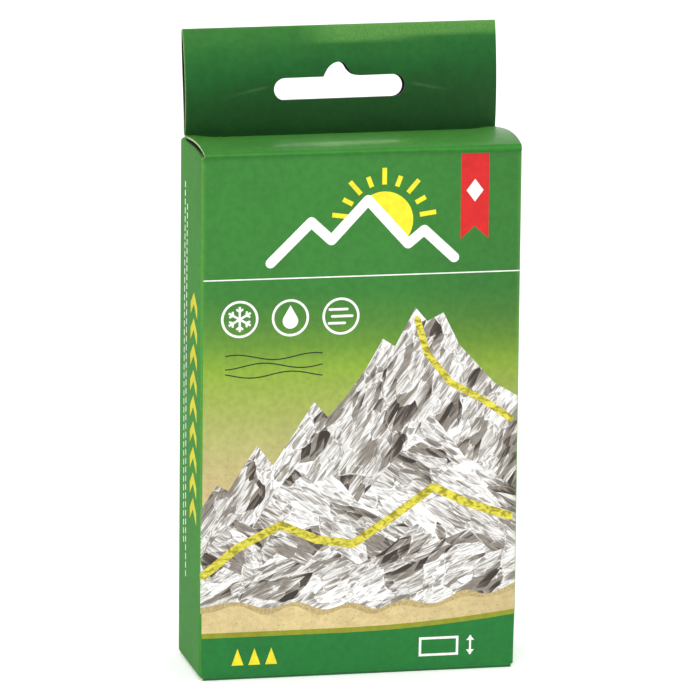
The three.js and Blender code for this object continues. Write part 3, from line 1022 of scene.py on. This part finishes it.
BACK_TOP_Y = TAB_BACK_FOOT_Y + (TAB_TOP - ROOF) * math.tan(TAB_LEAN)
FRONT_TOP_Y = BACK_TOP_Y - 2 * BOARD - PLY_GAP
STRIP_FOLD = 0.65
CREASE_FOLD = 0.15
strip = Profile(
    [
        (FRONT_Y, SCORE_Z + JOIN_GAP), (FRONT_Y, ROOF), (TAB_FOOT_Y, ROOF), (FRONT_TOP_Y, TAB_TOP),
        (BACK_TOP_Y, TAB_TOP), (TAB_BACK_FOOT_Y, ROOF), (TAB_BACK_FOOT_Y, GLUE_LOW.z),
    ],
    STRIP_FOLD, CREASE_FOLD, STRIP_FOLD, STRIP_FOLD, STRIP_FOLD,
)
T_FRONT, T_CREASE, T_FOLD_UP, T_FOLD_DOWN, T_HEEL = strip.middles()
FRONT_FOLD_END = strip.bends[0][1]
T_TAB, T_TAB_END = strip.flats()[2]  # the flat part of the tab's front ply
STRIP_ENDS = (  # left and right x at the front fold, the tab's foot and its top fold
    (-38.85, -38.55, -39.12),
    (39.5, 39.25, 39.08),
)
FOLD_PRINT = 0.3  # how far the front's green runs on past the fold

# Wear, painted highlights, painted light and painted shade across the strip, as strength and width,
# or strength at the left and the right end
FRONT_WEAR_AND_HIGHLIGHT, FRONT_HIGHLIGHT_WIDTH = (0.16, 0.08), 0.42
SCORE_SHADE_T, SCORE_SHADE_WIDTH = 0.05, 0.22
TOP_WEAR, TOP_WEAR_WIDTH = 0.25, 0.5
# painted light: a lighter band on the tab under its top fold, stronger to the right
BAND_LIGHT, BAND_SOFTNESS = (0.03, 0.42), 1.1  # of the light band under the top fold
BAND_START, BAND_RUN = -12, 14  # x at which it begins to brighten, and over what run
BAND_HEIGHT = (4.4, 3)  # in the middle and at the right end
EDGE_LIGHT, EDGE_WEAR = 0.55, 0.35  # of the worn rim at the tab's left edge


def strip_x(x, t):
    """The strip is a little narrower at the tab's foot, and sits to the right."""
    back = smooth((t - T_FRONT) / (T_CREASE - T_FRONT))
    up = clamp((t - T_CREASE) / (T_FOLD_UP - T_CREASE))
    if t > T_FOLD_DOWN:
        up = 1 - smooth((t - T_FOLD_DOWN) / (T_HEEL - T_FOLD_DOWN))
    left, right = [mix(mix(front, foot, back), top, up) for front, foot, top in STRIP_ENDS]
    if t > T_HEEL:
        left, right = GLUE_LOW.x, GLUE_HIGH.x
    return mix(left, right, (x + HALF_STRIP) / (2 * HALF_STRIP))


def place_on_strip(x, t, depth):
    y, z = strip.at(t, depth)
    outer = strip.at(t)
    if t < T_CREASE:
        z += top_bow(x, outer.x) - score_drop(x) * (1 - smooth(t / FRONT_FOLD_END))
    if t < T_FOLD_UP:  # the fold at the tab's foot hangs lower in its middle than at its ends
        near = bell(t, T_CREASE, CREASE_REACH) * smooth((HALF_STRIP - abs(x)) / CREASE_FADE)
        z -= CREASE_SAG * near
        y -= CREASE_PUSH * near
    ply = (t - T_TAB) / (T_TAB_END - T_TAB)
    if 0 < ply < 1:
        y -= across(x, BULGE_LEFT, BULGE_RIGHT) * math.sin(math.pi * ply) ** BULGE_POWER
    rise = clamp((outer.y - ROOF) / (TAB_TOP - ROOF))
    z += across(x, TILT_LEFT, TILT_RIGHT) * rise
    return Vector((strip_x(x, t), y, z))


def wear_and_painted_light_on_strip(x, t):
    """Wear and painted highlight along the front fold, painted shade in the score line below it, light
    along the top fold and the tab's left edge, and a band of painted light under the top fold that
    fades to the left."""
    # wear and painted highlight along the front fold
    wear_and_painted_light = across(x, *FRONT_WEAR_AND_HIGHLIGHT) * bell(t, T_FRONT, FRONT_HIGHLIGHT_WIDTH)
    # painted shade in the score line below the front fold
    wear_and_painted_light -= across(x, SCORE_SHADE_LEFT, SCORE_SHADE_RIGHT) * bell(t, SCORE_SHADE_T, SCORE_SHADE_WIDTH)
    wear_and_painted_light += TOP_WEAR * bell(t, (T_FOLD_UP + T_FOLD_DOWN) / 2, TOP_WEAR_WIDTH)
    if T_TAB < t < T_FOLD_DOWN:
        # painted light in a band on the tab under its top fold
        height = mix(*BAND_HEIGHT, smooth(x / HALF_STRIP))
        light = mix(*BAND_LIGHT, smooth((x - BAND_START) / BAND_RUN))
        wear_and_painted_light += light * smooth((height - (T_FOLD_UP - t)) / BAND_SOFTNESS)
        wear_and_painted_light = max(wear_and_painted_light, EDGE_LIGHT * smooth((EDGE_WEAR - x - HALF_STRIP) / EDGE_WEAR))
    return wear_and_painted_light


def slot_outline(middle, way, slide):
    """The euro slot on a ply, with its hump towards the tab's top fold."""
    end = SLOT_HALF - SLOT_RADIUS
    points = arc(-end, 0, SLOT_RADIUS, 270, 90, 12) + through(HUMP)
    points += arc(end, 0, SLOT_RADIUS, 90, -90, 12)
    turned = [(x - z * SLOT_TURN, z + x * SLOT_TURN) for x, z in points]
    return [(x + slide, middle + way * z) for x, z in turned]


def build_strip():
    half = HALF_STRIP
    rise = SLOT_LEVEL / math.cos(TAB_LEAN)
    columns = [-half] + spread(EDGE_WEAR - half, half, 2.2)
    rows = strip.steps(0, T_FOLD_UP, 1.1)
    rows += strip.steps(T_FOLD_UP, T_HEEL, 2.5)[1:]
    rows += strip.steps(T_HEEL, strip.length, 4)[1:]
    marks = [0, FRONT_FOLD_END + FOLD_PRINT, T_CREASE, T_FOLD_DOWN, strip.length]
    prints = ("fold", "top", "tab", "back")
    patches = [
        (box_shape(-half, start, half, end), material)
        for start, end, material in zip(marks, marks[1:], prints)
    ]
    holes = [
        slot_outline(T_CREASE + rise, 1, SLOT_SLIDE),
        slot_outline(T_HEEL - rise + SLOT_BACK_DROP, -1, SLOT_SLIDE + SLOT_BACK_SLIDE),
    ]
    # painted shade on the inner faces between the tab's plies
    gloom = lambda x, t: -1 if T_TAB < t < T_HEEL else 0  # dark between the tab's plies
    piece = build_sheet(
        "top_strip", "carton", columns, rows, place_on_strip, patches, wear_and_painted_light_on_strip, None, holes, gloom
    )
    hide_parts("top_panel", "hang_tab", "hang_tab_glue_flap")


# The bottom: lid with its tuck flap, two dust flaps, and the creases on which they turn

TUCK_RADIUS = 7  # of the tuck flap's corners
TUCK_NECK = 0.4  # how far past the fold the tuck flap keeps its full width
CREASE_STEP = 0.2  # between the rows of a crease that turns
LID_WEAR, LID_WEAR_WIDTH = 0.35, 0.45
# painted shade along the lid's fold at the front's foot
LID_FOLD_SHADE, LID_FOLD_SHADE_WIDTH = 0.5, 0.5
FLAP_TAPER = 3  # on each side of a dust flap, from its crease to its end
lid = Profile([(TUCK_LOW.y, TUCK_HIGH.z), (LID_HIGH.y, 0), (FRONT_Y, 0), (FRONT_Y, FRONT_FOOT)], FOLD)
TUCK_FOLD, LID_FOLD = lid.middles()
LID_START, LID_END = lid.flats()[1]


def place_on_lid(x, t, depth):
    y, z = lid.at(t, depth)
    return Vector((x, y, z))


def build_lid():
    half, tuck = LID_HIGH.x, TUCK_HIGH.x
    middle = tuck - TUCK_RADIUS
    neck = LID_START - TUCK_NECK
    end = LID_END - JOIN_GAP
    outline = arc(-middle, TUCK_RADIUS, TUCK_RADIUS, 180, 270)
    outline += arc(middle, TUCK_RADIUS, TUCK_RADIUS, 270, 360) + [(tuck, neck), (half, LID_START)]
    outline += [(half, end), (-half, end), (-half, LID_START), (-tuck, neck)]
    columns = spread(-half, half, 6)
    rows = lid.steps(0, end, 4)
    patches = [(box_shape(-half, 0, half, LID_END), "back")]
    marks = lambda x, t: LID_WEAR * bell(t, TUCK_FOLD, LID_WEAR_WIDTH)
    piece = build_sheet("lid", "lid", columns, rows, place_on_lid, patches, marks, outline)
    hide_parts("bottom_lid", "bottom_tuck_flap")

    rows = lid.steps(LID_END, lid.length - JOIN_GAP, CREASE_STEP)
    patches = [(box_shape(-half, LID_END, half, lid.length), "band")]
    # painted shade along the lid's fold
    marks = lambda x, t: -LID_FOLD_SHADE * bell(t, LID_FOLD, LID_FOLD_SHADE_WIDTH)
    crease = build_sheet("lid_crease", None, columns, rows, place_on_lid, patches, marks)
    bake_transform(crease)


def build_dust_flap(side, sign):
    """A bottom dust flap and its crease. sign is -1 on the left and 1 on the right."""
    left, low = -HALF_WIDTH, FLAP_LOW.z
    flap = Profile([(FLAP_HIGH.x, low), (left, low), (left, SIDE_FOOT)], FOLD)
    end = flap.bends[0][0]

    def place(y, t, depth):
        x, z = flap.at(t, depth)
        return Vector((-sign * x, y, z))

    front, back = FLAP_LOW.y, FLAP_HIGH.y
    edge = end - JOIN_GAP
    outline = [(front, edge), (front + FLAP_TAPER, 0), (back - FLAP_TAPER, 0), (back, edge)]
    columns = spread(front, back, 5)
    rows = flap.steps(0, edge, 4)
    patches = [(box_shape(front, 0, back, end), "side")]
    name = f"dust_flap_{side}"
    piece = build_sheet(name, name, columns, rows, place, patches, outline=outline)
    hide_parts(f"bottom_dust_flap_{side}")

    rows = flap.steps(end, flap.length - JOIN_GAP, CREASE_STEP)
    patches = [(box_shape(front, end, back, flap.length), "side")]
    crease = build_sheet(f"dust_flap_crease_{side}", None, columns, rows, place, patches)
    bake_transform(crease)


# Camera, floor and light

CAMERA_TARGET = (0.35, 0, 78.35)
CAMERA_AZIMUTH, CAMERA_ELEVATION, CAMERA_ROLL = 12.35, 12.23, 0.57  # degrees
CAMERA_DISTANCE = 1690
CAMERA_LENS, SENSOR_WIDTH = 355.05, 36

# Metres and watts
CAMERA_RANGE = 20
FLOOR_HALF = 4
KEY_PLACE, KEY_SIZE, KEY_POWER = (-0.35, -1.4, 1.3), 0.9, 9
CARTON_MIDDLE = (0, 0, 0.07)
FLOOR_GLOW = 0.22
WORLD_STRENGTH = 1.01


def make_camera():
    """The photograph's view: from the left and a little above, through a long lens."""
    azimuth, elevation, roll = map(math.radians, (CAMERA_AZIMUTH, CAMERA_ELEVATION, CAMERA_ROLL))
    forward = Vector((
        math.sin(azimuth) * math.cos(elevation), math.cos(azimuth) * math.cos(elevation),
        -math.sin(elevation),
    ))
    right = Vector((math.cos(azimuth), -math.sin(azimuth), 0))
    up = right.cross(forward)
    axes = (
        right * math.cos(roll) + up * math.sin(roll),
        up * math.cos(roll) - right * math.sin(roll),
        -forward,
    )
    camera = bpy.data.objects.new("camera", bpy.data.cameras.new("camera"))
    camera.data.lens = CAMERA_LENS
    camera.data.sensor_width = SENSOR_WIDTH
    camera.data.clip_end = CAMERA_RANGE
    place = (Vector(CAMERA_TARGET) - forward * CAMERA_DISTANCE) * MM
    rows = [[axis[i] for axis in axes] + [place[i]] for i in range(3)] + [[0, 0, 0, 1]]
    camera.matrix_world = Matrix(rows)
    bpy.context.scene.collection.objects.link(camera)
    bpy.context.scene.camera = camera


def make_floor():
    """A pale floor that glows a little, as white as the photograph's ground."""
    mesh = bpy.data.meshes.new("floor")
    outline = box_shape(-FLOOR_HALF, -FLOOR_HALF, FLOOR_HALF, FLOOR_HALF)
    mesh.from_pydata([(x, y, 0) for x, y in outline], [], [(0, 1, 2, 3)])
    floor = bpy.data.objects.new("floor", mesh)
    nodes = Nodes("floor")
    nodes.surface(
        Base_Color=(0.96, 0.96, 0.96, 1), Roughness=0.9, Specular_IOR_Level=0.1,
        Emission_Color=WHITE, Emission_Strength=FLOOR_GLOW,
    )
    mesh.materials.append(nodes.material)
    bpy.context.scene.collection.objects.link(floor)


def make_lights():
    """A white surrounding, and a soft light that points at the carton's middle."""
    world = bpy.data.worlds.new("studio")
    world.use_nodes = True
    background = world.node_tree.nodes["Background"]
    background.inputs["Color"].default_value = WHITE
    background.inputs["Strength"].default_value = WORLD_STRENGTH
    bpy.context.scene.world = world
    light = bpy.data.lights.new("key", "AREA")
    light.size = KEY_SIZE
    light.energy = KEY_POWER
    lamp = bpy.data.objects.new("key", light)
    lamp.location = KEY_PLACE
    aim = Vector(CARTON_MIDDLE) - Vector(KEY_PLACE)
    lamp.rotation_euler = aim.to_track_quat("-Z", "Y").to_euler()
    bpy.context.scene.collection.objects.link(lamp)


make_camera()
make_materials()
build_sleeve()
build_strip()
build_lid()
build_dust_flap("left", -1)
build_dust_flap("right", 1)
make_floor()
make_lights()
bpy.context.scene.view_settings.view_transform = "Standard"
